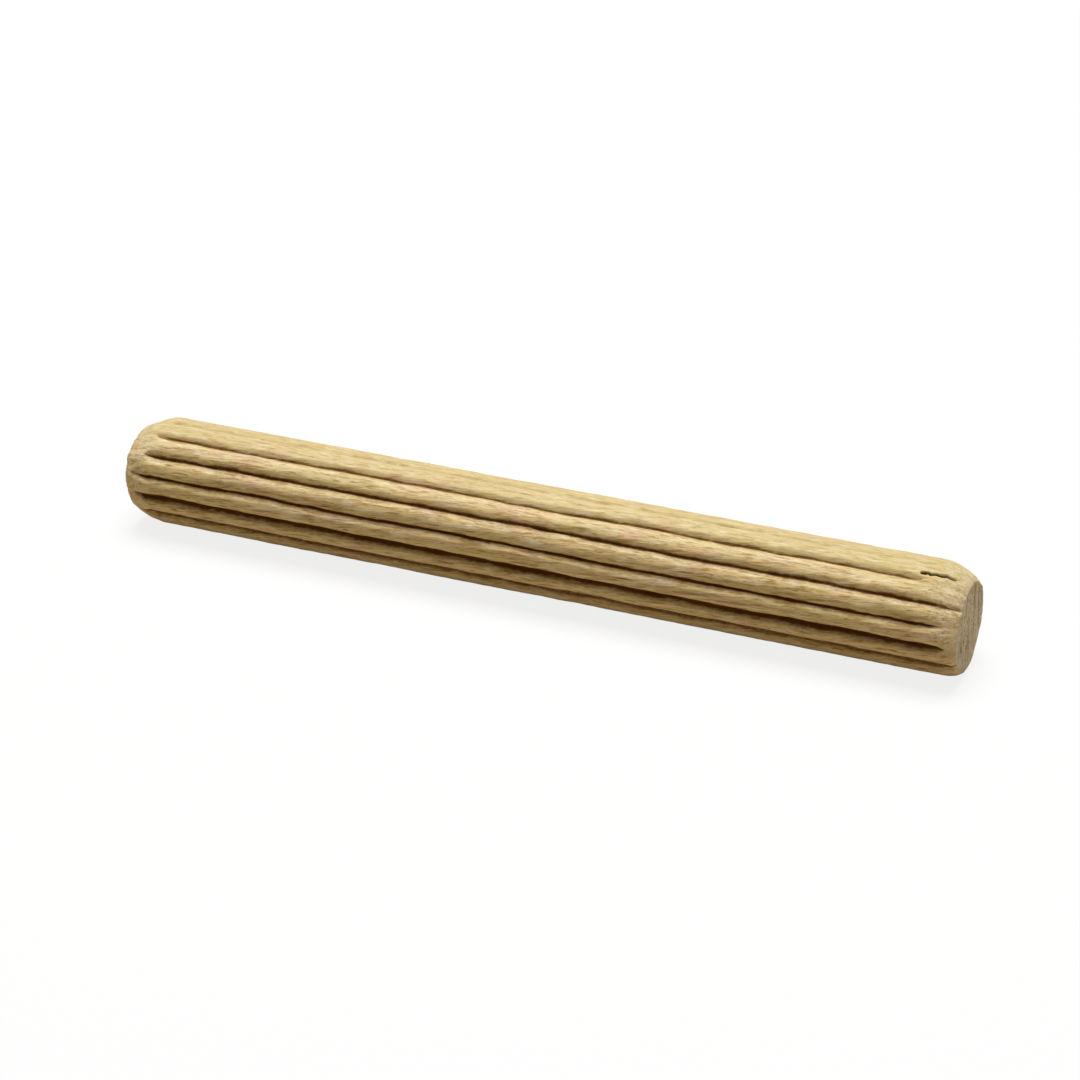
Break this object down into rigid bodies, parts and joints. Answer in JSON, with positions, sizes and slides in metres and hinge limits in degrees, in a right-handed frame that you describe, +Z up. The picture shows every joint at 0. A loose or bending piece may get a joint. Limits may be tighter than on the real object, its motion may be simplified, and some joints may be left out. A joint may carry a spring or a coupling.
{
  "type": "fluted wooden dowel pin",
  "caption": "Round wooden pin with V flutes along two sides and chamfered ends, glued and pressed into drilled holes to join two boards.",
  "frame": {"origin": "on the pin's axis, half way between the two end faces", "axes": "+X along the pin, towards the end that has the crack beside its upper flutes; +Z up as the pin lies on an outermost flute; -Y towards the side that is seen in the picture"},
  "size_m": [0.08, 0.01, 0.01],
  "materials": {
    "beech": "matte"
  },
  "bodies": {
    "root": {"dowel_pin": "beech"}
  },
  "joints": []
}
